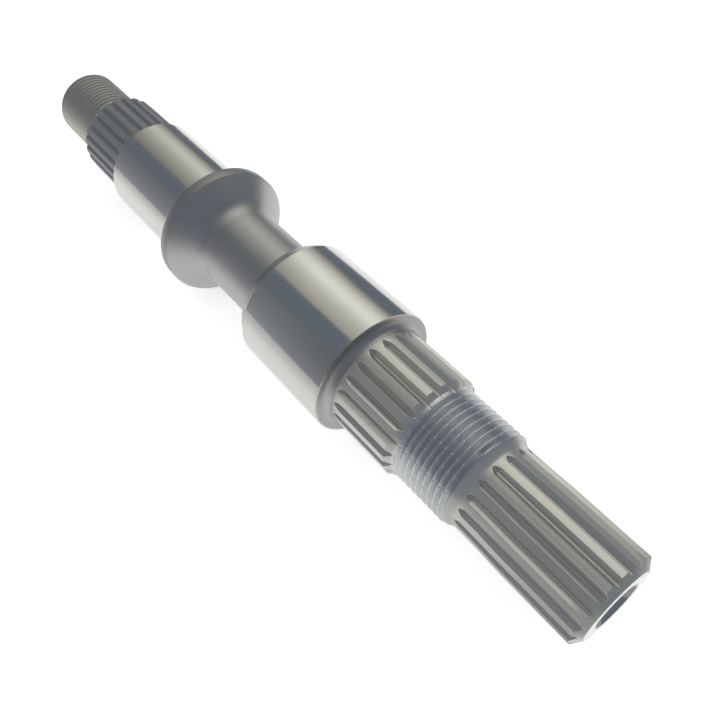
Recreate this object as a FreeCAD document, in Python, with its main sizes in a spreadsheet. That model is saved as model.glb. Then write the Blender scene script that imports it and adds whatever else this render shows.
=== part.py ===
import FreeCAD, Part
import Sketcher
import os

# Gearbox output shaft, turned from one bar and splined in three places.
# The axis is X, with the near end at +X, and +Z is up as the shaft lies.
# The origin is on the axis, at the middle of the large bearing journal.

QUARTER_TURN = 90
FULL_TURN = 360

doc = FreeCAD.newDocument("gearbox_output_shaft")
sheet = doc.addObject("Spreadsheet::Sheet", "Sizes")

# Driving sizes: millimetres, degrees for angles, plain numbers for teeth and shares
SIZES = [
    ("far_thread_dia", 18.0),
    ("far_thread_len", 20.4),
    ("far_thread_lead", 1.6),
    ("far_centre_dia", 4.0),
    ("far_centre_depth", 9.0),
    ("far_centre_mouth_dia", 8.5),
    ("far_centre_angle", 60.0),
    ("far_spline_dia", 22.0),
    ("far_spline_len", 19.9),
    ("far_spline_lead", 1.5),
    ("far_spline_teeth", 24.0),
    ("far_spline_depth", 1.5),
    ("far_spline_gap", 1.55),
    ("far_spline_root_gap", 0.6),
    ("far_spline_phase", 5.2),
    ("far_spline_runout", 3.0),
    ("far_spline_plain_len", 1.0),
    ("small_journal_dia", 25.0),
    ("small_journal_len", 31.1),
    ("small_journal_lead", 0.5),
    ("flange_dia", 32.1),
    ("flange_rim_len", 2.7),
    ("flange_edge", 0.2),
    ("flare_len", 5.95),
    ("flare_blend", 5.2),
    ("neck_dia", 20.2),
    ("neck_len", 22.0),
    ("large_journal_dia", 30.0),
    ("large_journal_len", 28.6),
    ("large_journal_lead_len", 2.6),
    ("large_journal_lead_drop", 1.5),
    ("large_journal_edge", 0.25),
    ("shoulder_fillet_share", 0.63),
    ("mid_spline_dia", 24.1),
    ("mid_spline_len", 17.45),
    ("mid_spline_plain_len", 2.0),
    ("mid_spline_teeth", 22.0),
    ("mid_spline_depth", 1.45),
    ("mid_spline_gap", 1.95),
    ("mid_spline_root_gap", 0.6),
    ("mid_spline_phase", -3.0),
    ("mid_spline_runout", 2.2),
    ("mid_thread_dia", 22.0),
    ("mid_thread_len", 14.1),
    ("near_cone_len", 2.0),
    ("near_spline_dia", 20.1),
    ("near_run_in_relief", 0.3),
    ("near_run_in_dia", "=near_spline_dia - near_run_in_relief"),
    ("near_run_in_len", 7.4),
    ("near_spline_len", 21.5),
    ("near_spline_plain_len", 0.6),
    ("near_spline_teeth", 18.0),
    ("near_spline_depth", 1.15),
    ("near_spline_gap", 2.05),
    ("near_spline_root_gap", 0.6),
    ("near_spline_phase", -8.8),
    ("near_spline_runout", 1.3),
    ("near_lead_len", 1.3),
    ("near_lead_drop", 2.0),
    ("tap_dia", 8.5),
    ("tap_depth", 24.0),
    ("tap_mouth_dia", 10.6),
    ("tap_mouth_angle", 90.0),
]
for row, (word, value) in enumerate(SIZES, start=1):
    sheet.set("A" + str(row), word)
    sheet.set("B" + str(row), str(value))
    sheet.setAlias("B" + str(row), word)
doc.recompute()


def size(word):
    return "Sizes." + word


def radius(word):
    return "Sizes." + word + " / 2"


def total(*words):
    return " + ".join(size(word) for word in words)


def number(expression):
    return float(sheet.evalExpression(expression))


# Stations along the axis, counted from the far end face
FAR_END = "0 mm"
FAR_SPLINE = total("far_thread_len")
SMALL_JOURNAL = FAR_SPLINE + " + " + total("far_spline_len")
FLANGE = SMALL_JOURNAL + " + " + total("small_journal_len")
FLARE = FLANGE + " + " + total("flange_rim_len")
NECK = FLARE + " + " + total("flare_len")
LARGE_JOURNAL = NECK + " + " + total("neck_len")
SHOULDER = LARGE_JOURNAL + " + " + total("large_journal_len")
MID_LANDS_END = SHOULDER + " + " + total("mid_spline_len")
MID_LEAD = "(" + radius("mid_spline_dia") + " - " + radius("mid_thread_dia") + ")"
MID_THREAD = MID_LANDS_END + " + " + MID_LEAD
NEAR_CONE = MID_THREAD + " + " + total("mid_thread_len")
NEAR_RUN_IN = NEAR_CONE + " + " + total("near_cone_len")
NEAR_SPLINE = NEAR_RUN_IN + " + " + total("near_run_in_len")
NEAR_STEP = "(" + radius("near_spline_dia") + " - " + radius("near_run_in_dia") + ")"
NEAR_END = NEAR_SPLINE + " + " + total("near_spline_len")
ORIGIN = LARGE_JOURNAL + " + " + size("large_journal_len") + " / 2"

body = doc.addObject("PartDesign::Body", "OutputShaft")
body.Label = "output_shaft"


def origin_feature(role):
    return next(item for item in body.Origin.OriginFeatures if item.Role == role)


def polygon_sketch(name, plane, corners):
    """A closed polygon whose corners are pairs of expressions. A corner at "0" lies on an axis."""
    sketch = body.newObject("Sketcher::SketchObject", name)
    sketch.AttachmentSupport = [(origin_feature(plane), "")]
    sketch.MapMode = "FlatFace"
    points = [FreeCAD.Vector(number(across), number(up), 0) for across, up in corners]
    for index, point in enumerate(points):
        sketch.addGeometry(Part.LineSegment(point, points[(index + 1) % len(points)]), False)
    for index in range(len(points)):
        following = (index + 1) % len(points)
        sketch.addConstraint(Sketcher.Constraint("Coincident", index, 2, following, 1))
    for index, (across, up) in enumerate(corners):
        place_coordinate(sketch, index, "DistanceX", across, -2, points[index].x)
        place_coordinate(sketch, index, "DistanceY", up, -1, points[index].y)
    return sketch


def place_coordinate(sketch, index, kind, expression, axis, value):
    if expression == "0":
        sketch.addConstraint(Sketcher.Constraint("PointOnObject", index, 1, axis))
        return
    constraint = sketch.addConstraint(Sketcher.Constraint(kind, -1, 1, index, 1, value))
    sketch.setExpression("Constraints[" + str(constraint) + "]", expression)


def turned_profile():
    """The shaft's half outline above the axis, from the far end to the near end."""
    corners = [
        ("0", "0"),
        ("0", radius("far_thread_dia") + " - " + size("far_thread_lead")),
        (size("far_thread_lead"), radius("far_thread_dia")),
        (FAR_SPLINE, radius("far_thread_dia")),
        (FAR_SPLINE, radius("far_spline_dia") + " - " + size("far_spline_lead")),
        (FAR_SPLINE + " + " + size("far_spline_lead"), radius("far_spline_dia")),
        (SMALL_JOURNAL, radius("far_spline_dia")),
        (SMALL_JOURNAL, radius("small_journal_dia") + " - " + size("small_journal_lead")),
        (SMALL_JOURNAL + " + " + size("small_journal_lead"), radius("small_journal_dia")),
        (FLANGE, radius("small_journal_dia")),
        (FLANGE, radius("flange_dia") + " - " + size("flange_edge")),
        (FLANGE + " + " + size("flange_edge"), radius("flange_dia")),
        (FLARE, radius("flange_dia")),
        (NECK, radius("neck_dia")),
        (LARGE_JOURNAL, radius("neck_dia")),
        (LARGE_JOURNAL, radius("large_journal_dia") + " - " + size("large_journal_lead_drop")),
        (LARGE_JOURNAL + " + " + size("large_journal_lead_len"), radius("large_journal_dia")),
        (SHOULDER + " - " + size("large_journal_edge"), radius("large_journal_dia")),
        (SHOULDER, radius("large_journal_dia") + " - " + size("large_journal_edge")),
        (SHOULDER, radius("mid_spline_dia")),
        (MID_LANDS_END, radius("mid_spline_dia")),
        (MID_THREAD, radius("mid_thread_dia")),
        (NEAR_CONE, radius("mid_thread_dia")),
        (NEAR_RUN_IN, radius("near_run_in_dia")),
        (NEAR_SPLINE, radius("near_run_in_dia")),
        (NEAR_SPLINE + " + " + NEAR_STEP, radius("near_spline_dia")),
        (NEAR_END + " - " + size("near_lead_len"), radius("near_spline_dia")),
        (NEAR_END, radius("near_spline_dia") + " - " + size("near_lead_drop")),
        (NEAR_END, "0"),
    ]
    return polygon_sketch("TurnedProfile", "XZ_Plane", corners)


def edges_at(shape, station, edge_radius):
    """Names of the circular edges with this station on the axis and this radius."""
    names = []
    for index, edge in enumerate(shape.Edges, start=1):
        if not isinstance(edge.Curve, Part.Circle):
            continue
        at_station = abs(edge.Curve.Center.x - station) < 0.01
        if at_station and abs(edge.Curve.Radius - edge_radius) < 0.01:
            names.append("Edge" + str(index))
    return names


def corner_fillet(name, base, station, edge_radius, fillet_radius):
    """A fillet along the circular edge with this station and radius."""
    fillet = body.newObject("PartDesign::Fillet", name)
    fillet.Base = (base, edges_at(base.Shape, number(station), number(edge_radius)))
    fillet.Radius = number(fillet_radius)
    fillet.setExpression("Radius", fillet_radius)
    doc.recompute()
    return fillet


def tooth_space_sketch(name, start, spline, outside):
    """The section of one tooth space, a trapezoid that reaches from its root to the cutter's axis.
    The cutter leaves the metal by turning about that axis, so the run-out is round."""
    phase = size(spline + "_phase")
    depth = size(spline + "_depth")
    root = outside + " - " + depth
    run_out = size(spline + "_runout")
    top = root + " + " + run_out
    half_root = size(spline + "_root_gap") + " / 2"
    widening = "(" + size(spline + "_gap") + " / 2 - " + half_root + ")"
    half_top = half_root + " + " + widening + " * " + run_out + " / " + depth
    sketch = body.newObject("Sketcher::SketchObject", name)
    sketch.AttachmentSupport = [(origin_feature("YZ_Plane"), "")]
    sketch.MapMode = "FlatFace"
    sketch.AttachmentOffset = FreeCAD.Placement(
        FreeCAD.Vector(0, 0, number(start)),
        FreeCAD.Rotation(FreeCAD.Vector(0, 0, 1), number(phase)),
    )
    sketch.setExpression("AttachmentOffset.Base.z", start)
    sketch.setExpression("AttachmentOffset.Rotation.Angle", phase)
    lower = FreeCAD.Vector(number(half_root), number(root), 0)
    upper = FreeCAD.Vector(number(half_top), number(top), 0)
    loop = [lower, upper, mirrored(upper), mirrored(lower)]
    for index, point in enumerate(loop):
        sketch.addGeometry(Part.LineSegment(point, loop[(index + 1) % 4]), False)
    for index in range(4):
        sketch.addConstraint(Sketcher.Constraint("Coincident", index, 2, (index + 1) % 4, 1))
    sketch.addConstraint(Sketcher.Constraint("Symmetric", 0, 1, 3, 1, -2))
    sketch.addConstraint(Sketcher.Constraint("Symmetric", 1, 1, 2, 1, -2))
    place_coordinate(sketch, 0, "DistanceX", half_root, -2, lower.x)
    place_coordinate(sketch, 0, "DistanceY", root, -1, lower.y)
    place_coordinate(sketch, 1, "DistanceX", half_top, -2, upper.x)
    place_coordinate(sketch, 1, "DistanceY", top, -1, upper.y)
    cutter_axis = sketch.addGeometry(Part.LineSegment(upper, mirrored(upper)), True)
    sketch.addConstraint(Sketcher.Constraint("Coincident", cutter_axis, 1, 1, 1))
    sketch.addConstraint(Sketcher.Constraint("Coincident", cutter_axis, 2, 2, 1))
    return sketch


def mirrored(point):
    return FreeCAD.Vector(-point.x, point.y, 0)


def cut_spline(name, spline, start, length, outside, towards_far_end):
    """All tooth spaces of one spline: a straight cut, the cutter's round run-out, and the pattern."""
    section = tooth_space_sketch(name + "Section", start, spline, outside)
    before = body.Tip.Shape.Volume
    straight = body.newObject("PartDesign::Pocket", name + "Space")
    straight.Profile = section
    straight.Type = "Length"
    straight.Length = number(length)
    straight.setExpression("Length", length)
    straight.Reversed = not towards_far_end
    doc.recompute()
    after_straight = straight.Shape.Volume
    run_out = body.newObject("PartDesign::Groove", name + "RunOut")
    run_out.Profile = section
    run_out.ReferenceAxis = (section, ["Axis0"])
    run_out.Angle = QUARTER_TURN
    run_out.Reversed = not towards_far_end
    doc.recompute()
    after_run_out = run_out.Shape.Volume
    if not before > after_straight > after_run_out:
        raise RuntimeError(name + " removes no metal: " + str((before, after_straight, after_run_out)))
    pattern = body.newObject("PartDesign::PolarPattern", name + "Teeth")
    pattern.Originals = [straight, run_out]
    pattern.Axis = (origin_feature("X_Axis"), [""])
    pattern.Angle = FULL_TURN
    pattern.Occurrences = int(number(size(spline + "_teeth")))
    pattern.setExpression("Occurrences", size(spline + "_teeth"))
    body.Tip = pattern
    doc.recompute()
    return pattern


def centred_hole(name, plane_offset, diameter, depth, mouth_diameter, angle, towards_far_end):
    """A blind hole on the axis with a countersunk mouth."""
    circle = body.newObject("Sketcher::SketchObject", name + "Circle")
    circle.AttachmentSupport = [(origin_feature("YZ_Plane"), "")]
    circle.MapMode = "FlatFace"
    circle.AttachmentOffset = FreeCAD.Placement(
        FreeCAD.Vector(0, 0, number(plane_offset)), FreeCAD.Rotation())
    circle.setExpression("AttachmentOffset.Base.z", plane_offset)
    circle.addGeometry(Part.Circle(FreeCAD.Vector(), FreeCAD.Vector(0, 0, 1), number(diameter) / 2))
    circle.addConstraint(Sketcher.Constraint("Coincident", 0, 3, -1, 1))
    sized = circle.addConstraint(Sketcher.Constraint("Diameter", 0, number(diameter)))
    circle.setExpression("Constraints[" + str(sized) + "]", diameter)
    doc.recompute()
    before = body.Tip.Shape.Volume
    hole = body.newObject("PartDesign::Hole", name)
    hole.Profile = circle
    hole.ThreadType = "None"
    hole.DepthType = "Dimension"
    hole.DrillPoint = "Angled"
    hole.Diameter = number(diameter)
    hole.Depth = number(depth)
    hole.HoleCutType = "Countersink"
    hole.HoleCutCustomValues = True
    hole.HoleCutDiameter = number(mouth_diameter)
    hole.HoleCutCountersinkAngle = number(angle)
    hole.Reversed = not towards_far_end
    hole.setExpression("Diameter", diameter)
    hole.setExpression("Depth", depth)
    hole.setExpression("HoleCutDiameter", mouth_diameter)
    hole.setExpression("HoleCutCountersinkAngle", angle)
    doc.recompute()
    if not hole.Shape.Volume < before:
        raise RuntimeError(name + " removes no metal")
    return hole


# The turned blank
blank = body.newObject("PartDesign::Revolution", "TurnedBlank")
blank.Profile = turned_profile()
blank.ReferenceAxis = (origin_feature("X_Axis"), [""])
blank.Angle = FULL_TURN
doc.recompute()

# Concave blends at the foot of the flare and at the bearing shoulder
flare_foot = corner_fillet("FlareBlend", blank, NECK, radius("neck_dia"), size("flare_blend"))
JOURNAL_FACE = radius("large_journal_dia") + " - " + size("large_journal_edge")
SHOULDER_HEIGHT = JOURNAL_FACE + " - " + radius("mid_spline_dia")
SHOULDER_FILLET = "(" + SHOULDER_HEIGHT + ") * " + size("shoulder_fillet_share")
corner_fillet("ShoulderFillet", flare_foot, SHOULDER, radius("mid_spline_dia"), SHOULDER_FILLET)

# The three splines
FAR_START = SMALL_JOURNAL + " - " + total("far_spline_plain_len") + " - " + size("far_spline_runout")
cut_spline("FarSpline", "far_spline", FAR_START, FAR_START, radius("far_spline_dia"), True)
MID_START = SHOULDER + " + " + total("mid_spline_plain_len", "mid_spline_runout")
MID_LENGTH = NEAR_CONE + " - (" + MID_START + ")"
cut_spline("MidSpline", "mid_spline", MID_START, MID_LENGTH, radius("mid_spline_dia"), False)
NEAR_START = NEAR_RUN_IN + " + " + total("near_spline_plain_len", "near_spline_runout")
NEAR_LENGTH = NEAR_END + " - (" + NEAR_START + ")"
cut_spline("NearSpline", "near_spline", NEAR_START, NEAR_LENGTH, radius("near_spline_dia"), False)

# The tapped hole in the near end and the centre hole in the far end
centred_hole("TappedHole", NEAR_END, size("tap_dia"), size("tap_depth"),
             size("tap_mouth_dia"), size("tap_mouth_angle"), True)
centred_hole("FarCentre", FAR_END, size("far_centre_dia"), size("far_centre_depth"),
             size("far_centre_mouth_dia"), size("far_centre_angle"), False)

body.setExpression("Placement.Base.x", "-(" + ORIGIN + ")")
doc.recompute()

for item in doc.Objects:
    if "Invalid" in item.State or "Error" in item.State:
        raise RuntimeError(item.Name + " failed: " + str(item.State))
if body.Shape.isNull() or not body.Shape.isValid():
    raise RuntimeError(body.Label + " has no valid shape")

os.makedirs("parts", exist_ok=True)
body.Shape.exportStep("parts/" + body.Label + ".step")
print(body.Label, "solids", len(body.Shape.Solids), "volume", round(body.Shape.Volume, 1))
print("box", body.Shape.BoundBox)
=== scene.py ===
import math
from types import SimpleNamespace

import bmesh
import bpy
from mathutils import Euler, Matrix, Vector


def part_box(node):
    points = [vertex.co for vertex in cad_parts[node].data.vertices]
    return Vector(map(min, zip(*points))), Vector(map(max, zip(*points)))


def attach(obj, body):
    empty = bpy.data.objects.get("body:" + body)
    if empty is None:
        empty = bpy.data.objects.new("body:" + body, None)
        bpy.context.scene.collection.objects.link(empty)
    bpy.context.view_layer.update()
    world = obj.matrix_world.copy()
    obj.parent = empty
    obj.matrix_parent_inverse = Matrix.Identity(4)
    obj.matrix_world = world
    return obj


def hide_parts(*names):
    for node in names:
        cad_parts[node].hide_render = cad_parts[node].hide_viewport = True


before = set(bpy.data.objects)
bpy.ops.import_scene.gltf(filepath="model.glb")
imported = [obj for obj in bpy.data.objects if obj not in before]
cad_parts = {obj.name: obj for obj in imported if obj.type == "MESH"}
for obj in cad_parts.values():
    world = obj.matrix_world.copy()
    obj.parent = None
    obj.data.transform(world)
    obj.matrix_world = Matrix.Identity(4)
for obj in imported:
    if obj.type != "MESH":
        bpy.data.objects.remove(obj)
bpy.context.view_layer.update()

bl_info = {
    "name": "Gearbox output shaft",
    "version": (1, 0, 0),
    "blender": (4, 5, 0),
    "location": "3D View > Sidebar > Shaft",
    "description": "Builds a splined gearbox output shaft and its photo stage",
    "category": "Add Mesh",
}

MM = 0.001
FULL_TURN = 2 * math.pi

# Stations along the axis in millimetres, from the middle of the large journal
FAR_END = -116.35
FAR_THREAD_CREST = FAR_END + 0.6
FAR_SPLINE = -95.95
FAR_THREAD_END = FAR_SPLINE - 0.6
FAR_THREAD_FADE = 1.6
SMALL_JOURNAL = -76.05
FLANGE = -44.95
FLARE = -42.25
NECK = -36.3
TOOL_LINE = -25.2
LARGE_JOURNAL = -14.3
SHOULDER = 14.3
MID_LANDS_END = 31.75
MID_THREAD = MID_LANDS_END + 1.05
MID_THREAD_CREST = SHOULDER + 19.3
NEAR_CONE = 46.9
MID_THREAD_END = NEAR_CONE + 1.6
NEAR_RUN_IN = 48.9
CONE_END = NEAR_RUN_IN + 0.2
RUN_IN_START = NEAR_RUN_IN + 0.3
NEAR_SPLINE = 56.3
HOLE_THREAD_END = 62.8
NEAR_END = 77.8

# Leads, which ease a neighbour on: how far each drops, and how long it is where it isn't at 45 degrees
FAR_LEAD = 1.7
FAR_SPLINE_LEAD = 1.5
SMALL_LEAD = 0.5
LARGE_LEAD_DROP = 1.5
LARGE_LEAD_LENGTH = 2.6
NEAR_LEAD_DROP = 2.0
NEAR_LEAD_LENGTH = 1.3

# The two holes: the far centre hole is 60 degrees wide, and the near one has a 45 degree countersink
CENTRE_RADIUS = 2.0
CENTRE_MOUTH = 4.25
CENTRE_DEPTH = 9.0
CENTRE_TIP = 0.9
SINK_MOUTH = 5.3
HOLE_PITCH = 1.5
HOLE_THREAD_SHARE = 0.7
DRILL_TIP_ANGLE = 31.0

# Teeth, and the columns of points that each tooth and each plain round length has
FAR_TEETH = 24
MID_TEETH = 22
NEAR_TEETH = 18
COLUMNS_PER_TOOTH = 14
HALF_COLUMNS = COLUMNS_PER_TOOTH // 2
THREAD_COLUMNS = 144
HOLE_COLUMNS = 84

# Rounds of a tooth's tip and root, which stay under these shares of a shallow cut
TIP_ROUND = 0.16
TIP_SHARE = 0.35
ROOT_FILLET = 0.2
FILLET_SHARE = 0.4

# Rows beside a run-out's edge: the last one that is cut, as a share of the reach, and the gap to the next
LAST_CUT = 0.985
UNCUT_GAP = 0.02

# The middle spline's spaces go on across the thread as flutes of this share of their depth
FLUTE_SHARE = 0.6
FLUTE_FADE = 1.2

# A thread's outline over one turn: share of the pitch and share of the depth, at crest, root and rise
THREAD_CREST = ((0.0, 0.0), (0.08, 0.03), (0.13, 0.13))
THREAD_ROOT = ((0.45, 0.95), (0.5, 1.0), (0.55, 0.95))
THREAD_RISE = ((0.87, 0.13), (0.92, 0.03))
THREAD_DEPTH_SHARE = 0.6

FLARE_ANGLE = 45.0
MERGE_DISTANCE = 0.0004

# Slots of the shaft's finishes, and the edges that stay sharp on them
GROUND, TURNED, HOBBED, ROLLED, BLACK_HOBBED, BLACK_ROLLED, ROUGH_CUT = range(7)
THREAD_FINISHES = (ROLLED, BLACK_ROLLED, ROUGH_CUT)
SHARP_ANGLE = 26.0
THREAD_SHARP_ANGLE = 75.0

# The white sheet on the floor, in metres. The steel mirrors the dim room beyond its edges.
SHEET_NEAR_X = 0.115
SHEET_FAR_X = -0.32
SHEET_NEAR_Y = -0.12
SHEET_FAR_Y = 0.45

# The sheet's own light: as the camera sees it, as the steel mirrors it, and where that fades to nothing
FLOOR_SEEN = 0.5
FLOOR_MIRRORED = 0.42
FADE_X = (0.02, 0.09)
FADE_Y = (-0.02, -0.08)

# The bright strip just past the near end, which the near face mirrors: it rises and falls between these
# stations, to this many times the light of the rest
STRIP_RISE = (0.0765, 0.0778)
STRIP_FALL = (0.082, 0.088)
STRIP_LIGHT = 1.6

# The softbox: metres in its own plane, which faces the shaft, and its brightness from the top edge down
SOFTBOX_TILT = -28.0
SOFTBOX_HEIGHT = 1.0
SOFTBOX_NEAR_X = 0.15
SOFTBOX_FAR_X = -3.6
SOFTBOX_TOP = -0.915
SOFTBOX_LOW = 0.66
SOFTBOX_LOW_FAR = 1.05
SOFTBOX_SLANT_X = -0.5
SOFTBOX_SLANT_RUN = 0.7
SOFTBOX_DIM = (0.55, 0.80, 0.6)
SOFTBOX_LEVELS = (
    (0.0, 0.38), (0.08, 0.42), (0.30, 0.55), (0.45, 0.72),
    (0.58, 1.0), (0.72, 0.8), (0.86, 0.5), (1.0, 0.12))

# The wall, in metres, and its brightness from the bottom edge up as a share of twice the room's
WALL_MIDDLE = (-2.0, -2.0, 0.75)
WALL_LENGTH = 5.2
WALL_HEIGHT = 2.5
WALL_DIM = (0.92, 0.65, 0.72)
WALL_LEVELS = ((0.0, 0.85), (0.2, 0.78), (0.45, 0.61), (0.8, 0.53), (1.0, 0.49))

# The world's soft light, which is what reaches the paper and the rough finishes
SOFT_LIGHT = 0.9

# The camera, in metres and degrees: it looks down along the shaft from beside its near end
CAMERA_PLACE = (0.090931, -0.065062, 0.124447)
CAMERA_TILT = 39.96
CAMERA_TURN = 51.22
SENSOR_WIDTH = 36.0


def linear(code):
    """An sRGB hex colour as linear red, green, blue and alpha."""
    channels = [int(code[start:start + 2], 16) / 255 for start in (1, 3, 5)]
    values = [c / 12.92 if c <= 0.04045 else ((c + 0.055) / 1.055) ** 2.4 for c in channels]
    return (*values, 1.0)


def length_size(name, description, millimetres):
    """A length, whose default is given in millimetres."""
    return bpy.props.FloatProperty(
        name=name, description=description, default=millimetres * MM, min=0.01 * MM,
        subtype="DISTANCE", unit="LENGTH")


def finish_colour(name, description, code):
    """A colour, whose default is given in sRGB hex."""
    return bpy.props.FloatVectorProperty(
        name=name, description=description, default=linear(code)[:3], min=0.0, max=1.0,
        subtype="COLOR")


class ShaftSizes(bpy.types.PropertyGroup):
    """Radii and depths of the shaft."""
    far_thread_radius: length_size("Far thread radius", "Crest radius of the far thread", 9.0)
    far_spline_radius: length_size("Far spline radius", "Land radius of the far spline", 11.0)
    small_journal_radius: length_size("Small journal radius", "Radius of the small bearing seat", 12.5)
    flange_radius: length_size("Flange radius", "Radius of the flange's rim", 16.05)
    flare_blend: length_size("Flare blend", "Radius where the flare meets the neck", 5.2)
    neck_radius: length_size("Neck radius", "Radius of the neck", 10.1)
    large_journal_radius: length_size("Large journal radius", "Radius of the large bearing seat", 15.0)
    shoulder_fillet: length_size("Shoulder fillet", "Radius at the foot of the shoulder", 1.7)
    mid_spline_radius: length_size("Middle spline radius", "Land radius of the middle spline", 12.05)
    mid_thread_radius: length_size("Middle thread radius", "Crest radius of the middle thread", 11.0)
    run_in_radius: length_size("Run-in radius", "Land radius before the near spline's fit", 9.9)
    near_spline_radius: length_size("Near spline radius", "Land radius of the near spline", 10.05)
    hole_radius: length_size("Hole radius", "Radius of the tapping drill in the near end", 4.25)
    hole_depth: length_size("Hole depth", "Depth of the tapped hole", 24.0)
    pitch: length_size("Thread pitch", "Distance between the crests of both outside threads", 1.5)


class ShaftColours(bpy.types.PropertyGroup):
    """Colours of the shaft's finishes."""
    ground_steel: finish_colour("Ground steel", "Both journals and the near face", "#C9C8C5")
    turned_steel: finish_colour("Turned steel", "Flange, neck, leads and far face", "#AFAEAD")
    hobbed_steel: finish_colour("Hobbed steel", "Middle spline, cone and near spline", "#C4C3BE")
    rolled_steel: finish_colour("Rolled steel", "Middle thread", "#CED0D2")
    blackened_hobbed_steel: finish_colour("Blackened hobbed steel", "Far spline", "#76797D")
    blackened_rolled_steel: finish_colour("Blackened rolled steel", "Far thread", "#C3BFB8")
    rough_cut_steel: finish_colour("Rough cut steel", "Tapped hole and the flange's rim", "#929394")


class StageSettings(bpy.types.PropertyGroup):
    """Camera and light levels."""
    lens: bpy.props.FloatProperty(
        name="Lens", description="Focal length on a 36 mm sensor", default=38.665, min=1.0,
        subtype="DISTANCE_CAMERA", unit="CAMERA")
    softbox_level: bpy.props.FloatProperty(
        name="Softbox level", description="Brightness of the overhead softbox", default=1.25, min=0.0)
    room_level: bpy.props.FloatProperty(
        name="Room level", description="Brightness of the room that the steel mirrors", default=0.26,
        min=0.0)


def in_millimetres(group):
    """The group's lengths as plain numbers in millimetres."""
    return SimpleNamespace(**{name: round(getattr(group, name) / MM, 5) for name in group.__annotations__})


def deselect_all():
    """Leaves object mode with nothing selected."""
    if bpy.context.object and bpy.context.object.mode != "OBJECT":
        bpy.ops.object.mode_set(mode="OBJECT")
    bpy.ops.object.select_all(action="DESELECT")


def select_only(obj):
    """Makes this the one object that is selected, and the active one."""
    deselect_all()
    obj.select_set(True)
    bpy.context.view_layer.objects.active = obj


def merge_and_close(obj):
    """Joins doubled points and turns the faces outward."""
    select_only(obj)
    bpy.ops.object.mode_set(mode="EDIT")
    bpy.ops.mesh.select_all(action="SELECT")
    bpy.ops.mesh.remove_doubles(threshold=MERGE_DISTANCE * MM)
    bpy.ops.mesh.dissolve_degenerate(threshold=MERGE_DISTANCE * MM)
    bpy.ops.mesh.select_all(action="SELECT")
    bpy.ops.mesh.normals_make_consistent(inside=False)
    bpy.ops.object.mode_set(mode="OBJECT")


def arc(centre_x, centre_r, arc_radius, start, end, steps):
    """Points of a half outline on an arc, angles in degrees from +X towards the outside."""
    points = []
    for step in range(steps + 1):
        angle = math.radians(start + (end - start) * step / steps)
        points.append((centre_x + arc_radius * math.cos(angle), centre_r + arc_radius * math.sin(angle)))
    return points


def turned(name, outline, columns):
    """A turned length: its half outline, in stations and radii, drawn point by point and spun."""
    deselect_all()
    first = outline[0]
    bpy.ops.mesh.primitive_plane_add(size=MM, location=(first[0] * MM, 0, first[1] * MM))
    obj = bpy.context.object
    obj.name = name
    bpy.ops.object.transform_apply(location=True, rotation=True, scale=True)
    bpy.ops.object.mode_set(mode="EDIT")
    bpy.ops.mesh.select_all(action="SELECT")
    bpy.ops.mesh.merge(type="CENTER")
    for here, there in zip(outline, outline[1:]):
        move = ((there[0] - here[0]) * MM, 0, (there[1] - here[1]) * MM)
        bpy.ops.mesh.extrude_region_move(TRANSFORM_OT_translate={"value": move})
    bpy.ops.mesh.select_all(action="SELECT")
    bpy.ops.mesh.spin(steps=columns, angle=FULL_TURN, center=(0, 0, 0), axis=(1, 0, 0))
    bpy.ops.object.mode_set(mode="OBJECT")
    merge_and_close(obj)
    return obj


def rolled_grid(name, columns, rows, place):
    """A flat grid rolled round the axis. place(row, column) gives x, radius and angle for each point."""
    deselect_all()
    bpy.ops.mesh.primitive_grid_add(x_subdivisions=columns, y_subdivisions=rows - 1, size=1)
    obj = bpy.context.object
    obj.name = name
    for index, vertex in enumerate(obj.data.vertices):
        row, column = divmod(index, columns + 1)
        x, radius, angle = place(row, column)
        vertex.co = (x * MM, -radius * math.sin(angle) * MM, radius * math.cos(angle) * MM)
    merge_and_close(obj)
    return obj


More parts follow.
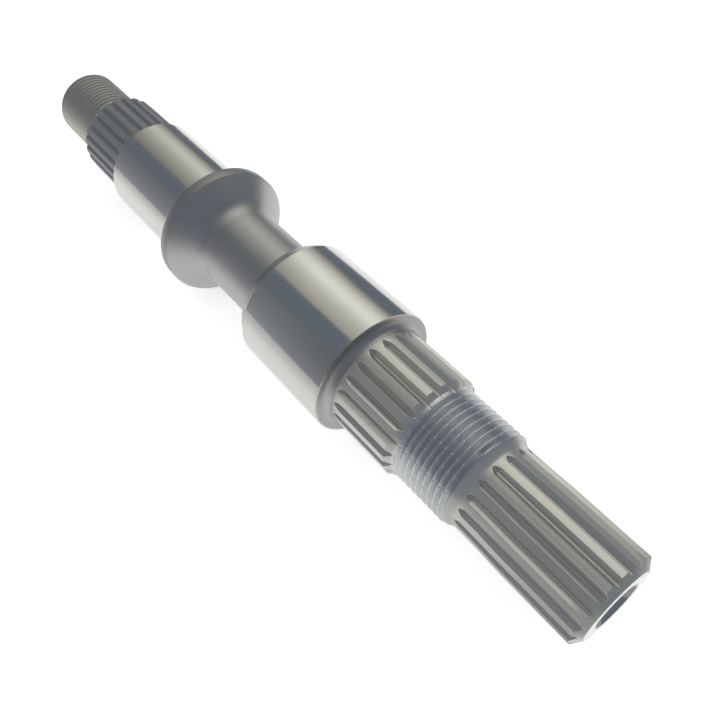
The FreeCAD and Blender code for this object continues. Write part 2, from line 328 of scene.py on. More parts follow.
class ToothSpace:
    """The cutter's section, a narrow root between straight flanks, and its run-out from the metal."""

    def __init__(self, teeth, outside, depth, gap, root_gap, phase, run_out):
        self.teeth = teeth
        self.root = outside - depth
        self.half_root = root_gap / 2
        self.slope = (gap - root_gap) / 2 / depth
        self.phase = math.radians(phase)
        self.cutter = run_out
        self.axis = self.root + run_out

    def half_width(self, height, travel):
        """Half the space's width at this height, this far into the run-out."""
        above_root = self.cutter - math.hypot(self.axis - height, travel)
        return self.half_root + self.slope * max(above_root, 0.0)

    def root_height(self, travel):
        """The cutter's lowest point, which rises out of the metal where the run-out ends."""
        if travel >= self.cutter:
            return math.inf
        return self.axis - math.sqrt(self.cutter ** 2 - travel ** 2)

    def reach(self, outside):
        """How far into the run-out the cutter still touches a round of this radius."""
        return math.sqrt(max(self.cutter ** 2 - (self.axis - outside) ** 2, 0.0))

    def uncut_angle(self, part, outside, half_pitch, evenness):
        """Angle from the space's middle where the cutter misses the metal. The columns wait there close to
        the root that they open into, and an evenness of 1 spreads them equally."""
        root_edge = self.half_root / outside
        waiting = (0.0, 0.7, 0.98, 1.1)
        if part < len(waiting):
            spot = waiting[part] * root_edge
        else:
            spot = half_pitch - (half_pitch - root_edge) / 3.3 * (HALF_COLUMNS - part)
        even = half_pitch * part / HALF_COLUMNS
        return spot + (even - spot) * evenness

    def cut_point(self, part, outside, root, travel, half_pitch):
        """Radius and angle from the space's middle: filleted root, straight flank, rounded tip and land."""
        cut = outside - root
        flank = math.atan(self.slope)
        opening = self.half_width(outside, travel)
        tip = min(TIP_ROUND, TIP_SHARE * cut)
        inset = tip * math.tan((math.pi / 2 - flank) / 4)
        lean = (math.pi / 2 + flank) / 2
        fillet = min(ROOT_FILLET, FILLET_SHARE * cut)
        section = (
            (0.0, root),
            (0.6 * self.half_root, root + 0.1 * fillet),
            (self.half_width(root + fillet, travel), root + fillet),
            (opening - tip * math.sin(flank), outside - tip * math.cos(flank)),
            (opening + inset * math.cos(lean), outside - inset * math.sin(lean)),
        )
        if part < len(section):
            across, up = section[part]
            return math.hypot(across, up), math.atan2(across, up)
        land = math.asin(min((opening + tip) / outside, 0.95))
        share = (part - len(section)) / (HALF_COLUMNS - len(section))
        return outside, land + (half_pitch - land) * share

    def column(self, column, outside, travel, evenness=0.0):
        """Radius and angle of a column's point on the teeth's outline, this far into the run-out."""
        tooth, part = divmod(column, COLUMNS_PER_TOOTH)
        pitch = FULL_TURN / self.teeth
        centre = self.phase + tooth * pitch
        side = 1
        if part > HALF_COLUMNS:
            part = COLUMNS_PER_TOOTH - part
            centre += pitch
            side = -1
        root = self.root_height(travel)
        if outside <= root:
            radius, angle = outside, self.uncut_angle(part, outside, pitch / 2, evenness)
        else:
            radius, angle = self.cut_point(part, outside, root, travel, pitch / 2)
        return radius, centre + side * angle


def thread_steps(start, end, crest_at, pitch):
    """The thread's outline as steps of travel and depth: round crests, straight flanks and round roots. The
    steps of the first turn begin before the start, so that every column has enough of them."""
    steps = []
    turn = math.floor((start - crest_at) / pitch) - 1
    while crest_at + turn * pitch < end + pitch:
        for share, depth in THREAD_CREST + THREAD_ROOT + THREAD_RISE:
            steps.append((crest_at + (turn + share) * pitch, depth * THREAD_DEPTH_SHARE * pitch))
        turn += 1
    return steps


def stations(*spans):
    """Stations from pairs of an end and a number of steps, beginning at the first number."""
    values = [spans[0]]
    for end, steps in spans[1:]:
        start = values[-1]
        values += [start + (end - start) * (step + 1) / steps for step in range(steps)]
    return values


def clamped(value, low=0.0, high=1.0):
    """The value, kept between the two limits."""
    return min(max(value, low), high)


def smooth_step(value):
    """A soft rise from 0 to 1 as the value does, level before and after."""
    value = clamped(value)
    return value * value * (3 - 2 * value)


def paint(obj, finish, start=-math.inf, end=math.inf):
    """Gives a length, or its part between two stations, one of the shaft's finishes. Each length carries the
    whole list, so that joining keeps them."""
    if not obj.data.materials:
        for material in shaft_materials():
            obj.data.materials.append(material)
    for polygon in obj.data.polygons:
        if start < polygon.center.x / MM < end:
            polygon.material_index = finish


def boundary_at(mesh, station, tolerance=0.01):
    """Open edges of a bmesh whose points all lie at this station."""
    found = []
    for edge in mesh.edges:
        if edge.is_boundary and all(abs(v.co.x / MM - station) < tolerance for v in edge.verts):
            found.append(edge)
    return found


def joined(name, parts):
    """One object of all the lengths."""
    deselect_all()
    for part in parts:
        part.select_set(True)
    bpy.context.view_layer.objects.active = parts[0]
    bpy.ops.object.join()
    obj = bpy.context.object
    obj.name = name
    obj.data.name = name
    return obj


def bridge_faces(obj, first, second, finish):
    """Closes the gap between the two open rings at these stations with faces of one finish."""
    select_only(obj)
    bpy.ops.object.mode_set(mode="EDIT")
    bpy.ops.mesh.select_mode(type="EDGE")
    bpy.ops.mesh.select_all(action="DESELECT")
    mesh = bmesh.from_edit_mesh(obj.data)
    for station in {first, second}:
        for edge in boundary_at(mesh, station):
            edge.select = True
    bmesh.update_edit_mesh(obj.data)
    before = {face.index for face in mesh.faces}
    bpy.ops.mesh.bridge_edge_loops()
    mesh = bmesh.from_edit_mesh(obj.data)
    for face in mesh.faces:
        if face.index not in before or face.select:
            face.material_index = finish
    bmesh.update_edit_mesh(obj.data)
    bpy.ops.object.mode_set(mode="OBJECT")


def shade(obj):
    """Smooth shading with sharp edges, which threads keep only where they are steepest."""
    select_only(obj)
    bpy.ops.object.shade_smooth()
    mesh = bmesh.new()
    mesh.from_mesh(obj.data)
    for edge in mesh.edges:
        threaded = all(face.material_index in THREAD_FINISHES for face in edge.link_faces)
        limit = THREAD_SHARP_ANGLE if threaded else SHARP_ANGLE
        edge.smooth = edge.calc_face_angle(0.0) < math.radians(limit)
    mesh.to_mesh(obj.data)
    mesh.free()


def far_end_lengths(sizes):
    """The centre hole, the far end face and the far thread."""
    crest = sizes.far_thread_radius
    face_radius = crest - FAR_LEAD
    cone_start = FAR_END + (CENTRE_MOUTH - CENTRE_RADIUS) / math.tan(math.radians(30))
    outline = [
        (FAR_END + CENTRE_DEPTH + CENTRE_TIP, 0.0),
        (FAR_END + CENTRE_DEPTH, CENTRE_RADIUS),
        (cone_start, CENTRE_RADIUS),
        (FAR_END, CENTRE_MOUTH),
        (FAR_END, face_radius),
    ]
    end = turned("far_end", outline, THREAD_COLUMNS)
    paint(end, TURNED)

    steps = thread_steps(FAR_END, FAR_SPLINE, FAR_THREAD_CREST, sizes.pitch)

    def place(row, column):
        angle = FULL_TURN * column / THREAD_COLUMNS
        travel, depth = steps[row]
        x = travel + angle / FULL_TURN * sizes.pitch
        depth *= smooth_step((FAR_THREAD_END - x) / FAR_THREAD_FADE)
        limit = clamped(face_radius + (x - FAR_END), face_radius, crest)
        return clamped(x, FAR_END, FAR_SPLINE), min(crest - depth, limit), angle

    thread = rolled_grid("far_thread", THREAD_COLUMNS, len(steps), place)
    paint(thread, BLACK_ROLLED)
    return [end, thread]


def far_spline_length(sizes):
    """The far spline with its lead and the cutter's run-out before the small journal."""
    outside = sizes.far_spline_radius
    run_out = 4.0
    space = ToothSpace(
        FAR_TEETH, outside, depth=0.72, gap=1.4, root_gap=0.45, phase=5.2, run_out=run_out)
    full_end = SMALL_JOURNAL - run_out
    reach = space.reach(outside)
    lead_end = FAR_SPLINE + FAR_SPLINE_LEAD
    xs = stations(FAR_SPLINE, (lead_end, 6), (full_end, 6), (full_end + reach * LAST_CUT, 12))
    xs += [full_end + reach + UNCUT_GAP, SMALL_JOURNAL]

    def place(row, column):
        x = xs[row]
        limit = min(outside, outside + x - lead_end)
        radius, angle = space.column(column, limit, max(x - full_end, 0.0))
        return x, radius, angle

    length = rolled_grid("far_spline", FAR_TEETH * COLUMNS_PER_TOOTH, len(xs), place)
    paint(length, BLACK_HOBBED)
    return [length]


def turned_middle(sizes):
    """The small journal, flange, flare, neck and large journal."""
    small = sizes.small_journal_radius
    rim = sizes.flange_radius
    neck = sizes.neck_radius
    large = sizes.large_journal_radius
    blend = sizes.flare_blend
    far_columns = FAR_TEETH * COLUMNS_PER_TOOTH
    mid_columns = MID_TEETH * COLUMNS_PER_TOOTH

    outline = [(SMALL_JOURNAL, small - SMALL_LEAD), (SMALL_JOURNAL + SMALL_LEAD, small), (FLANGE, small)]
    small_journal = turned("small_journal", outline, far_columns)
    paint(small_journal, GROUND)

    # Both edges of the rim are broken softly. The flare is a straight cone with a round foot on the neck.
    outline = [(FLANGE, small), (FLANGE, rim - 0.2), (FLANGE + 0.07, rim - 0.06), (FLANGE + 0.2, rim)]
    outline += [(FLARE - 0.12, rim), (FLARE - 0.04, rim - 0.03), (FLARE + 0.05, rim - 0.1)]
    foot = blend * math.tan(math.radians(FLARE_ANGLE / 2))
    outline += arc(NECK + foot, neck + blend, blend, 270 - FLARE_ANGLE, 270, 20)
    # The tool's fine line on the neck, with points beside it and the corner that keep the neck straight
    outline += [(TOOL_LINE - 0.4, neck), (TOOL_LINE - 0.15, neck), (TOOL_LINE, neck - 0.02)]
    outline += [(TOOL_LINE + 0.15, neck), (TOOL_LINE + 0.4, neck)]
    outline += [(LARGE_JOURNAL - 1.0, neck), (LARGE_JOURNAL, neck)]
    flange = turned("flange_and_neck", outline, far_columns)
    paint(flange, TURNED)
    paint(flange, ROUGH_CUT, FLANGE, FLARE)

    seat_start = LARGE_JOURNAL + LARGE_LEAD_LENGTH
    outline = [(LARGE_JOURNAL, large - LARGE_LEAD_DROP), (seat_start, large)]
    lead = turned("journal_lead", outline, mid_columns)
    paint(lead, TURNED)

    outline = [(seat_start, large), (SHOULDER - 0.25, large)]
    outline += [(SHOULDER - 0.07, large - 0.07), (SHOULDER, large - 0.25)]
    large_journal = turned("large_journal", outline, mid_columns)
    paint(large_journal, GROUND)
    return [small_journal, flange, lead, large_journal]


def middle_spline_lengths(sizes):
    """The shoulder's fillet, the middle spline, the fluted thread and the cone."""
    outside = sizes.mid_spline_radius
    crest = sizes.mid_thread_radius
    fillet = sizes.shoulder_fillet
    columns = MID_TEETH * COLUMNS_PER_TOOTH
    space = ToothSpace(MID_TEETH, outside, depth=1.2, gap=1.9, root_gap=0.35, phase=-3.0, run_out=2.6)
    full_start = SHOULDER + 4.2
    reach = space.reach(outside)
    bend = arc(SHOULDER + fillet, outside + fillet, fillet, 180, 270, 10)
    xs = stations(full_start - reach, (full_start, 12), (MID_LANDS_END, 5), (MID_THREAD, 5))
    xs[0] = full_start - reach * LAST_CUT
    rows = bend + [(full_start - reach - UNCUT_GAP, outside)]
    rows += [(x, min(outside, outside - (x - MID_LANDS_END))) for x in xs]

    def place_spline(row, column):
        x, limit = rows[row]
        evenness = max(1.0 - row / len(bend), 0.0)
        radius, angle = space.column(column, limit, max(full_start - x, 0.0), evenness)
        return x, radius, angle

    spline = rolled_grid("middle_spline", columns, len(rows), place_spline)
    paint(spline, HOBBED)
    paint(spline, TURNED, end=SHOULDER + fillet)

    def cone_radius(x):
        """The cone after the thread, which flattens softly into the run-in."""
        share = clamped((CONE_END - x) / (CONE_END - NEAR_CONE))
        return sizes.run_in_radius + (crest - sizes.run_in_radius) * share ** 1.6

    steps = thread_steps(MID_THREAD, MID_THREAD_END, MID_THREAD_CREST, sizes.pitch)

    def place_thread(row, column):
        flute, angle = space.column(column, crest, 0.0)
        travel, depth = steps[row]
        x = travel + (angle - space.phase) / FULL_TURN * sizes.pitch
        depth *= smooth_step(x - MID_THREAD) * smooth_step((NEAR_CONE + 0.8 - x) / 1.2)
        x = clamped(x, MID_THREAD, MID_THREAD_END)
        share = 1 - (1 - FLUTE_SHARE) * smooth_step((x - MID_THREAD) / FLUTE_FADE)
        flute = crest - (crest - flute) * share
        return x, min(crest - depth, flute, cone_radius(x)), angle

    thread = rolled_grid("middle_thread", columns, len(steps), place_thread)
    paint(thread, ROLLED)
    paint(thread, HOBBED, NEAR_CONE + 0.6)

    cone_xs = stations(MID_THREAD_END, (CONE_END, 5))

    def place_cone(row, column):
        x = cone_xs[row]
        flute, angle = space.column(column, crest, 0.0)
        even = space.phase + FULL_TURN * column / columns
        return x, cone_radius(x), angle + (even - angle) * row / (len(cone_xs) - 1)

    cone = rolled_grid("cone", columns, len(cone_xs), place_cone)
    paint(cone, HOBBED)
    return [spline, thread, cone]


def near_spline_length(sizes):
    """The run-in, the near spline and its lead. The step up to the spline's fit is smoothed."""
    outside = sizes.near_spline_radius
    run_in = sizes.run_in_radius
    space = ToothSpace(
        NEAR_TEETH, outside, depth=1.08, gap=2.0, root_gap=0.4, phase=-8.8, run_out=1.35)
    full_start = NEAR_RUN_IN + 1.65
    reach = space.reach(run_in)
    step_start = NEAR_SPLINE - 3.0
    step_end = NEAR_SPLINE + 4.5
    lead_start = NEAR_END - NEAR_LEAD_LENGTH
    # Just past the station where the lead has dropped to the spaces' root
    root_end = lead_start + NEAR_LEAD_LENGTH * 1.15 / NEAR_LEAD_DROP
    xs = [RUN_IN_START, full_start - reach - UNCUT_GAP, full_start - reach * LAST_CUT]
    xs += stations(full_start - reach * 0.95, (full_start, 10), (step_start, 1), (step_end, 8))
    xs += stations(lead_start - 8.0, (lead_start, 2), (root_end - UNCUT_GAP, 6))
    xs += [root_end + UNCUT_GAP, NEAR_END]

    def place(row, column):
        x = xs[row]
        land = run_in + (outside - run_in) * smooth_step((x - step_start) / (step_end - step_start))
        limit = min(land, outside - (x - lead_start) * NEAR_LEAD_DROP / NEAR_LEAD_LENGTH)
        evenness = 1.0 if row in (0, len(xs) - 1) else 0.0
        radius, angle = space.column(column, limit, max(full_start - x, 0.0), evenness)
        return x, radius, angle

    length = rolled_grid("near_spline", NEAR_TEETH * COLUMNS_PER_TOOTH, len(xs), place)
    paint(length, HOBBED)
    return [length]


def sink_end(sizes):
    """Where the countersink of the near end meets the hole."""
    return NEAR_END - (SINK_MOUTH - sizes.hole_radius)


def near_end_lengths(sizes):
    """The near face, the countersink and the tapped hole."""
    face_radius = sizes.near_spline_radius - NEAR_LEAD_DROP
    hole = sizes.hole_radius
    sink = sink_end(sizes)
    outline = [(NEAR_END, face_radius - 0.1), (NEAR_END, SINK_MOUTH + 0.08)]
    outline += [(NEAR_END - 0.08, SINK_MOUTH), (sink, hole)]
    face = turned("near_face", outline, HOLE_COLUMNS)
    paint(face, GROUND)

    steps = thread_steps(HOLE_THREAD_END, sink, HOLE_THREAD_END, HOLE_PITCH)

    def place(row, column):
        angle = FULL_TURN * column / HOLE_COLUMNS
        travel, depth = steps[row]
        x = clamped(travel + angle / FULL_TURN * HOLE_PITCH, HOLE_THREAD_END, sink)
        fade = smooth_step((sink - x) / 0.3) * smooth_step((x - HOLE_THREAD_END) / 1.5)
        return x, hole + HOLE_THREAD_SHARE * depth * fade, angle

    thread = rolled_grid("hole_thread", HOLE_COLUMNS, len(steps), place)
    paint(thread, ROUGH_CUT)

    bottom = NEAR_END - sizes.hole_depth
    tip = bottom - hole * math.tan(math.radians(DRILL_TIP_ANGLE))
    blind = turned("hole_bottom", [(HOLE_THREAD_END, hole), (bottom, hole), (tip, 0.0)], HOLE_COLUMNS)
    paint(blind, ROUGH_CUT)
    return [face, thread, blind]


class SHAFT_OT_build(bpy.types.Operator):
    """Model the whole shaft as one closed piece"""
    bl_idname = "shaft.build"
    bl_label = "Build output shaft"

    def execute(self, context):
        sizes = in_millimetres(context.scene.shaft_sizes)
        parts = far_end_lengths(sizes)
        parts += far_spline_length(sizes)
        parts += turned_middle(sizes)
        parts += middle_spline_lengths(sizes)
        parts += near_spline_length(sizes)
        parts += near_end_lengths(sizes)
        shaft = joined("output_shaft_looks", parts)
        merge_and_close(shaft)
        sink = sink_end(sizes)
        seams = (
            (FAR_END, FAR_END, TURNED),
            (FAR_SPLINE, FAR_SPLINE, BLACK_HOBBED),
            (SMALL_JOURNAL, SMALL_JOURNAL, TURNED),
            (LARGE_JOURNAL, LARGE_JOURNAL, TURNED),
            (SHOULDER, SHOULDER, TURNED),
            (CONE_END, RUN_IN_START, HOBBED),
            (NEAR_END, NEAR_END, TURNED),
            (sink, sink, ROUGH_CUT),
            (HOLE_THREAD_END, HOLE_THREAD_END, ROUGH_CUT),
        )
        for first, second, finish in seams:
            bridge_faces(shaft, first, second, finish)
        merge_and_close(shaft)
        shade(shaft)
        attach(shaft, "root")
        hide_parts("output_shaft")
        return {"FINISHED"}


def add_node(tree, kind, settings=None, inputs=None, links=None):
    """Adds a node with its settings, its input values and the links that feed it."""
    node = tree.nodes.new(kind)
    for name, value in (settings or {}).items():
        setattr(node, name, value)
    for name, value in (inputs or {}).items():
        node.inputs[name].default_value = value
    for name, source in (links or {}).items():
        tree.links.new(source, node.inputs[name])
    return node


def new_material(name):
    """A material with its node tree and shader."""
    material = bpy.data.materials.new(name)
    material.use_nodes = True
    tree = material.node_tree
    return material, tree, tree.nodes["Principled BSDF"]


def steel(name, colour, roughness, spread, spacing, bump, metallic=1.0):
    """Steel with fine tool marks. spacing is the distance between marks along and round the axis, in
    millimetres. Less metallic stands for a thin film of oil or scale, which scatters the light."""
    material, tree, shader = new_material(name)
    shader.inputs["Base Color"].default_value = (*colour, 1.0)
    shader.inputs["Metallic"].default_value = metallic
    along, across = (1 / (distance * MM) for distance in spacing)
    place = add_node(tree, "ShaderNodeTexCoord")
    stretch = add_node(
        tree, "ShaderNodeMapping", inputs={"Scale": (along, across, across)},
        links={"Vector": place.outputs["Object"]})
    marks = add_node(
        tree, "ShaderNodeTexNoise", inputs={"Scale": 1.0, "Detail": 2.0, "Roughness": 0.5},
        links={"Vector": stretch.outputs["Vector"]})
    level = add_node(
        tree, "ShaderNodeMapRange", inputs={
            "From Min": 0.3, "From Max": 0.7, "To Min": roughness - spread, "To Max": roughness + spread},
        links={"Value": marks.outputs["Fac"]})
    tree.links.new(level.outputs["Result"], shader.inputs["Roughness"])
    relief = add_node(
        tree, "ShaderNodeBump", inputs={"Strength": bump, "Distance": 0.01 * MM},
        links={"Height": marks.outputs["Fac"]})
    tree.links.new(relief.outputs["Normal"], shader.inputs["Normal"])
    return material


def ground_steel(name, colour):
    """Hardened steel, ground round the axis. It mirrors the softbox clearly, a little drawn out along the
    shaft. Real grinding lines are a few hundredths of a millimetre apart and are drawn a sixth apart."""
    return steel(name, colour, roughness=0.15, spread=0.02, spacing=(1 / 6, 33.3), bump=0.1)


def turned_steel(name, colour):
    """Steel as the lathe left it. Feed lines a quarter of a millimetre apart spread the softbox to a broad
    soft band round each turned length."""
    return steel(name, colour, roughness=0.39, spread=0.05, spacing=(0.25, 50.0), bump=0.3, metallic=0.93)


def hobbed_steel(name, colour):
    """Case-hardened steel with hobbed teeth. Fine lines along each tooth give flanks and lands a satin
    sheen. The real lines are finer and are drawn a third of a millimetre apart."""
    return steel(
        name, colour, roughness=0.32, spread=0.04, spacing=(33.3, 1 / 3), bump=0.15, metallic=0.84)


def rolled_steel(name, colour):
    """Steel thread, rolled. The burnished crests are the brightest lines on the shaft and hardly marked, so
    the marks are only a faint mottle a millimetre across."""
    return steel(
        name, colour, roughness=0.29, spread=0.01, spacing=(10 / 9, 10 / 9), bump=0.02, metallic=0.95)


def blackened_hobbed_steel(name, colour):
    """Hobbed steel under thin heat scale. It is dark grey and nearly matt, with streaks along the teeth,
    which are drawn two thirds of a millimetre apart."""
    return steel(
        name, colour, roughness=0.45, spread=0.05, spacing=(33.3, 2 / 3), bump=0.1, metallic=0.3)


def blackened_rolled_steel(name, colour):
    """Rolled steel thread under worn heat scale, warm grey, with a mottle a little over a millimetre across
    that breaks the light on the crests."""
    return steel(
        name, colour, roughness=0.5, spread=0.05, spacing=(1.25, 1.25), bump=0.1, metallic=0.95)


def rough_cut_steel(name, colour):
    """Steel as the drill, the tap and the roughing tool left it. Coarse lines round the axis, 0.4 mm apart,
    make it greyer than the turned lengths."""
    return steel(name, colour, roughness=0.42, spread=0.05, spacing=(0.4, 16.7), bump=0.2, metallic=0.82)


FINISHES = (
    ground_steel, turned_steel, hobbed_steel, rolled_steel,
    blackened_hobbed_steel, blackened_rolled_steel, rough_cut_steel)


def shaft_materials():
    """The finishes in the order of their slots. They are made once and shared by every length."""
    colours = bpy.context.scene.shaft_colours
    materials = []
    for finish in FINISHES:
        name = finish.__name__
        materials.append(bpy.data.materials.get(name) or finish(name, getattr(colours, name)))
    return materials


class SHAFT_OT_stage(bpy.types.Operator):
    """Set the pale floor, the softbox, the wall, the room and the camera"""
    bl_idname = "shaft.stage"
    bl_label = "Set the stage"

    def execute(self, context):
        settings = context.scene.shaft_stage
        add_floor()
        add_softbox(settings)
        add_wall(settings)
        set_room(context.scene, settings)
        set_camera(context.scene, settings)
        context.scene.view_settings.view_transform = "Standard"
        return {"FINISHED"}


def add_floor():
    """The white sheet under the shaft's lowest point."""
    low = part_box("output_shaft")[0]
    deselect_all()
    middle_x = (SHEET_FAR_X + SHEET_NEAR_X) / 2
    middle_y = (SHEET_FAR_Y + SHEET_NEAR_Y) / 2
    bpy.ops.mesh.primitive_plane_add(size=1.0, location=(middle_x, middle_y, low[2]))
    floor = bpy.context.object
    floor.name = "floor"
    floor.scale = (SHEET_NEAR_X - SHEET_FAR_X, SHEET_FAR_Y - SHEET_NEAR_Y, 1.0)
    bpy.ops.object.transform_apply(location=True, rotation=True, scale=True)
    floor.data.materials.append(matt_paper())


def matt_paper():
    """Uncoated white paper, which glows. The camera sees it plain white with the soft shadow on it. What
    the steel mirrors of it is painted light: its glow dims towards the room's side and past the near end,
    where its colour is a darker grey as painted shade, but for the painted bright strip there, which the
    near face mirrors as its highlight."""
    material, tree, shader = new_material("matt_paper")
    shader.inputs["Roughness"].default_value = 0.9
    shader.inputs["Specular IOR Level"].default_value = 0.1
    shader.inputs["Emission Color"].default_value = linear("#FFFFFF")
    place = add_node(tree, "ShaderNodeTexCoord")
    parts = add_node(tree, "ShaderNodeSeparateXYZ", links={"Vector": place.outputs["Object"]})
    # Painted light for the steel to mirror: the glow fades past the near end and towards the room's side,
    # and a painted bright strip just past the near end gives the near face its highlight
    ramps = []
    for axis, (start, end), (before, after) in (
            ("X", FADE_X, (1.0, 0.0)), ("Y", FADE_Y, (1.0, 0.0)),
            ("X", STRIP_RISE, (0.0, 1.0)), ("X", STRIP_FALL, (STRIP_LIGHT, 0.0))):
        ramp = add_node(
            tree, "ShaderNodeMapRange", settings={"interpolation_type": "SMOOTHSTEP"},
            inputs={"From Min": start, "From Max": end, "To Min": before, "To Max": after},
            links={"Value": parts.outputs[axis]})
        ramps.append(ramp.outputs["Result"])
    near, side, rise, fall = ramps
    fade = add_node(tree, "ShaderNodeMath", settings={"operation": "MULTIPLY"}, links={0: near, 1: side})
    strip = add_node(tree, "ShaderNodeMath", settings={"operation": "MULTIPLY"}, links={0: rise, 1: fall})
    sheet = add_node(
        tree, "ShaderNodeMath", settings={"operation": "ADD"},
        links={0: fade.outputs["Value"], 1: strip.outputs["Value"]})
    mirrored = add_node(
        tree, "ShaderNodeMath", settings={"operation": "MULTIPLY"},
        inputs={1: FLOOR_MIRRORED}, links={0: sheet.outputs["Value"]})
    seen = add_node(tree, "ShaderNodeLightPath").outputs["Is Camera Ray"]
    level = add_node(
        tree, "ShaderNodeMix", settings={"data_type": "FLOAT"},
        inputs={"B": FLOOR_SEEN}, links={"Factor": seen, "A": mirrored.outputs["Value"]})
    tree.links.new(level.outputs["Result"], shader.inputs["Emission Strength"])
    # Painted shade: past the near end the paper that the steel mirrors is a darker grey, while the camera
    # sees the lighter colour
    whole = add_node(tree, "ShaderNodeMath", settings={"operation": "MAXIMUM"}, links={0: seen, 1: near})
    paper = add_node(
        tree, "ShaderNodeMix", settings={"data_type": "RGBA"},
        inputs={6: linear("#BDBEBE"), 7: linear("#F4F5F6")}, links={0: whole.outputs["Value"]})
    tree.links.new(paper.outputs[2], shader.inputs["Base Color"])
    return material


def add_softbox(settings):
    """A long softbox above the +Y side, sharp at its upper edge, which dims and slants to the floor."""
    deselect_all()
    bpy.ops.mesh.primitive_grid_add(x_subdivisions=12, y_subdivisions=6, size=1)
    panel = bpy.context.object
    panel.name = "softbox"
    tilt = Matrix.Rotation(math.radians(SOFTBOX_TILT), 3, "X")
    for vertex in panel.data.vertices:
        along = vertex.co.x + 0.5
        share = vertex.co.y + 0.5
        x = SOFTBOX_FAR_X + along * (SOFTBOX_NEAR_X - SOFTBOX_FAR_X)
        slant = clamped((SOFTBOX_SLANT_X - x) / SOFTBOX_SLANT_RUN)
        low = SOFTBOX_LOW + (SOFTBOX_LOW_FAR - SOFTBOX_LOW) * slant
        offset = SOFTBOX_TOP + (low - SOFTBOX_TOP) * share
        place = tilt @ Vector((0.0, offset, SOFTBOX_HEIGHT))
        vertex.co = (x, place.y, place.z)
    # Softbox cloth, lit from behind: a faintly warm white that is brightest below its middle
    strength = settings.softbox_level
    material = glow_material("softbox_cloth", "#FFFFF5", SOFTBOX_LEVELS, SOFTBOX_DIM, strength)
    panel.data.materials.append(material)


def add_wall(settings):
    """The room's wall across from the softbox, which the steel mirrors lighter towards the floor."""
    deselect_all()
    bpy.ops.mesh.primitive_plane_add(size=1.0, location=WALL_MIDDLE, rotation=(math.pi / 2, 0, 0))
    wall = bpy.context.object
    wall.name = "wall"
    wall.scale = (WALL_LENGTH, WALL_HEIGHT, 1.0)
    bpy.ops.object.transform_apply(location=True, rotation=True, scale=True)
    # A cool grey glow, painted light that stands for the matt wall paint of a dim room and gives the steel's
    # shaded side its tone. It is only mirrored and lights nothing.
    strength = 2 * settings.room_level
    material = glow_material("wall_glow", "#E9EFFB", WALL_LEVELS, WALL_DIM, strength, mirrored_only=True)
    material.cycles.emission_sampling = "NONE"
    wall.data.materials.append(material)


def glow_material(name, colour, levels, dim, strength, mirrored_only=False):
    """A surface that glows by its own UV. The levels run up it, and along it the glow dims from 1 at the
    second number of dim to the third at the first. The camera sees it white, and so does all but the steel
    where it is for mirroring only."""
    material = bpy.data.materials.new(name)
    material.use_nodes = True
    tree = material.node_tree
    tree.nodes.clear()
    place = add_node(tree, "ShaderNodeTexCoord")
    parts = add_node(tree, "ShaderNodeSeparateXYZ", links={"Vector": place.outputs["UV"]})
    light = add_node(tree, "ShaderNodeValToRGB", links={"Fac": parts.outputs["Y"]})
    ramp = light.color_ramp
    ramp.interpolation = "B_SPLINE"
    for position, level in levels[1:-1]:
        ramp.elements.new(position)
    for element, (position, level) in zip(ramp.elements, levels):
        element.position = position
        element.color = (level, level, level, 1.0)
    along = add_node(
        tree, "ShaderNodeMapRange",
        inputs={"From Min": dim[0], "From Max": dim[1], "To Min": dim[2], "To Max": 1.0},
        links={"Value": parts.outputs["X"]})
    dimmed = add_node(
        tree, "ShaderNodeMath", settings={"operation": "MULTIPLY"},
        links={0: light.outputs["Color"], 1: along.outputs["Result"]})
    full = add_node(
        tree, "ShaderNodeMath", settings={"operation": "MULTIPLY"},
        inputs={1: strength}, links={0: dimmed.outputs["Value"]})
    glow = add_node(
        tree, "ShaderNodeEmission", inputs={"Color": linear(colour)},
        links={"Strength": full.outputs["Value"]})
    white = add_node(tree, "ShaderNodeEmission", inputs={"Color": linear("#FFFFFF"), "Strength": 1.0})
    ray = add_node(tree, "ShaderNodeLightPath")
    if mirrored_only:
        choice = {0: ray.outputs["Is Glossy Ray"], 1: white.outputs[0], 2: glow.outputs[0]}
    else:
        choice = {0: ray.outputs["Is Camera Ray"], 1: glow.outputs[0], 2: white.outputs[0]}
    seen = add_node(tree, "ShaderNodeMixShader", links=choice)
    add_node(tree, "ShaderNodeOutputMaterial", links={"Surface": seen.outputs[0]})
    return material


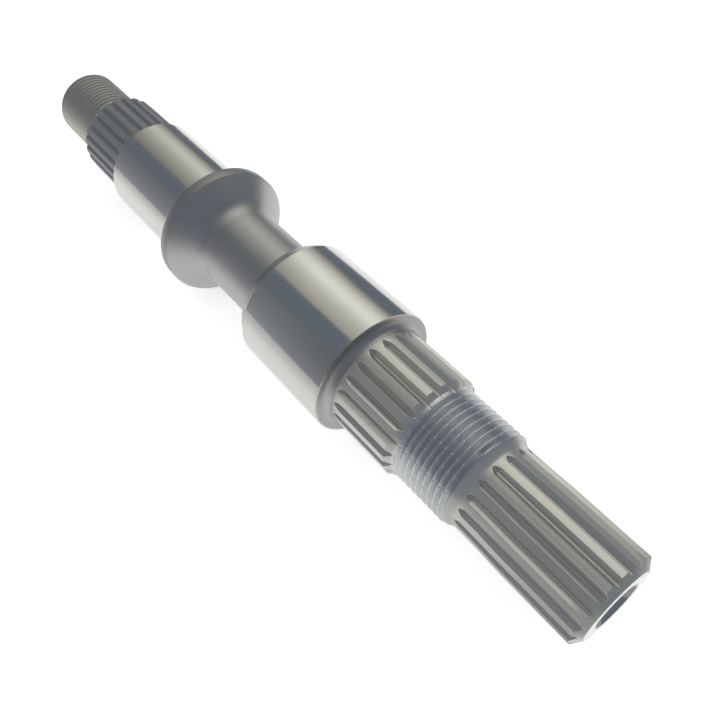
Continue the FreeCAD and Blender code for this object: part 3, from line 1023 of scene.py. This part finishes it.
def set_room(scene, settings):
    """The room around the stage: white to the camera, dim and cool in the steel, and a soft white light."""
    world = scene.world or bpy.data.worlds.new("room")
    scene.world = world
    world.use_nodes = True
    tree = world.node_tree
    tree.nodes.clear()
    path = add_node(tree, "ShaderNodeLightPath")
    lights = []
    for code, strength in (("#FFFFFF", 1.0), ("#DAE9FF", settings.room_level), ("#FFFFFF", SOFT_LIGHT)):
        light = add_node(tree, "ShaderNodeBackground", inputs={"Color": linear(code), "Strength": strength})
        lights.append(light.outputs[0])
    white, mirrored, soft = lights
    glossy = add_node(
        tree, "ShaderNodeMixShader", links={0: path.outputs["Is Glossy Ray"], 1: soft, 2: mirrored})
    seen = add_node(
        tree, "ShaderNodeMixShader",
        links={0: path.outputs["Is Camera Ray"], 1: glossy.outputs[0], 2: white})
    add_node(tree, "ShaderNodeOutputWorld", links={"Surface": seen.outputs[0]})


def set_camera(scene, settings):
    """The camera at the photo's viewing angle."""
    camera_data = bpy.data.cameras.new("photo_camera")
    camera = bpy.data.objects.new("photo_camera", camera_data)
    scene.collection.objects.link(camera)
    camera_data.sensor_width = SENSOR_WIDTH
    camera_data.lens = settings.lens
    camera_data.clip_start = 0.01
    camera.location = CAMERA_PLACE
    camera.rotation_euler = Euler((math.radians(CAMERA_TILT), 0.0, math.radians(CAMERA_TURN)), "XYZ")
    scene.camera = camera


class SHAFT_PT_panel(bpy.types.Panel):
    """Sizes, colours and actions for the shaft"""
    bl_label = "Output shaft"
    bl_idname = "SHAFT_PT_panel"
    bl_space_type = "VIEW_3D"
    bl_region_type = "UI"
    bl_category = "Shaft"

    def draw(self, context):
        layout = self.layout
        scene = context.scene
        for group in (scene.shaft_sizes, scene.shaft_colours, scene.shaft_stage):
            for name in group.__annotations__:
                layout.prop(group, name)
        layout.operator("shaft.build")
        layout.operator("shaft.stage")


CLASSES = (ShaftSizes, ShaftColours, StageSettings, SHAFT_OT_build, SHAFT_OT_stage, SHAFT_PT_panel)


def register():
    """Makes the operators, the panel and the settings known."""
    for cls in CLASSES:
        bpy.utils.register_class(cls)
    bpy.types.Scene.shaft_sizes = bpy.props.PointerProperty(type=ShaftSizes)
    bpy.types.Scene.shaft_colours = bpy.props.PointerProperty(type=ShaftColours)
    bpy.types.Scene.shaft_stage = bpy.props.PointerProperty(type=StageSettings)


def unregister():
    """Takes them away again."""
    del bpy.types.Scene.shaft_stage
    del bpy.types.Scene.shaft_colours
    del bpy.types.Scene.shaft_sizes
    for cls in reversed(CLASSES):
        bpy.utils.unregister_class(cls)


def main():
    """Builds the shaft and its stage."""
    register()
    bpy.ops.shaft.build()
    bpy.ops.shaft.stage()


if __name__ == "__main__":
    main()
